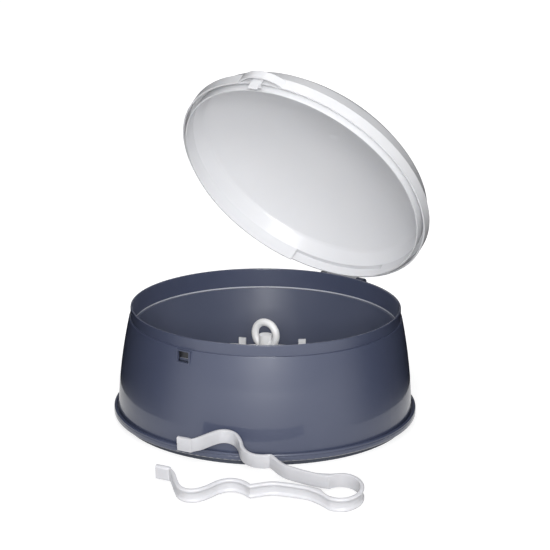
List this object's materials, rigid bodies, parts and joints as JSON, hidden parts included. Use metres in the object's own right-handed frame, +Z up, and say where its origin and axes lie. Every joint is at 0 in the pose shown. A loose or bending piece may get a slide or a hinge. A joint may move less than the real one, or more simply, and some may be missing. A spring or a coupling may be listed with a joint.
{
  "type": "bottle steriliser",
  "caption": "Round microwave steam steriliser for baby bottles: hinged dome lid, slate base, lift-out rack, and sprung tongs leaning on the casing.",
  "frame": {"origin": "on the base's axis, in the plane of the table under the foot ring", "axes": "+Z up, -Y towards the latch, +Y towards the hinge, +X to the right of someone facing the latch"},
  "size_m": [0.3346, 0.3661, 0.3235],
  "materials": {
    "slate_plastic": "glossy moulded polypropylene, slate blue",
    "dark_plastic": "satin moulded polypropylene, dark slate",
    "white_plastic": "glossy moulded polypropylene, white",
    "rack_plastic": "satin moulded polypropylene, white",
    "tongs_plastic": "satin moulded polypropylene, white",
    "foot_rubber": "matt thermoplastic rubber, near black",
    "seal_silicone": "translucent silicone"
  },
  "bodies": {
    "base": {"foot_ring": "foot_rubber", "base_plate": "slate_plastic", "body_shell": "slate_plastic", "bowl_seal": "seal_silicone", "water_bowl": "dark_plastic", "hinge_pin": "dark_plastic"},
    "lid": {"lid_shell": "white_plastic"},
    "latch": {"lid_latch": "white_plastic"},
    "rack": {"bottle_rack": "rack_plastic", "rack_column": "rack_plastic"},
    "tongs": {"tongs_spring": "tongs_plastic"},
    "near_arm": {"tongs_near_arm": "tongs_plastic"},
    "far_arm": {"tongs_far_arm": "tongs_plastic"}
  },
  "joints": [
    {"name": "lid_hinge", "type": "hinge", "parent": "base", "child": "lid", "pos_m": [0, 0.134, 0.0985], "axis": [-1, 0, 0], "range_deg": [-55.7, 34.3]},
    {"name": "latch_flex", "type": "hinge", "parent": "lid", "child": "latch", "pos_m": [0, -0.00973, 0.31914], "axis": [-1, 0, 0], "range_deg": [0, 10], "stiffness_Nm_per_rad": 0.6},
    {"name": "rack_lift", "type": "slide", "parent": "base", "child": "rack", "axis": [0, 0, 1], "range_m": [0, 0.11]},
    {"name": "tongs_lift", "type": "slide", "parent": "base", "child": "tongs", "axis": [0, 0, 1], "range_m": [0, 0.12]},
    {"name": "near_squeeze", "type": "hinge", "parent": "tongs", "child": "near_arm", "pos_m": [0.16235, -0.15863, 0.00304], "axis": [-0.1039, 0.2048, -0.9733], "range_deg": [0, 7.6], "stiffness_Nm_per_rad": 6},
    {"name": "far_squeeze", "type": "hinge", "parent": "tongs", "child": "far_arm", "pos_m": [0.15809, -0.13939, 0.00755], "axis": [0.1039, -0.2048, 0.9733], "range_deg": [0, 7.6], "stiffness_Nm_per_rad": 6}
  ],
  "couplings": [
    {"joint": "far_squeeze", "follows": "near_squeeze", "ratio": 1}
  ]
}
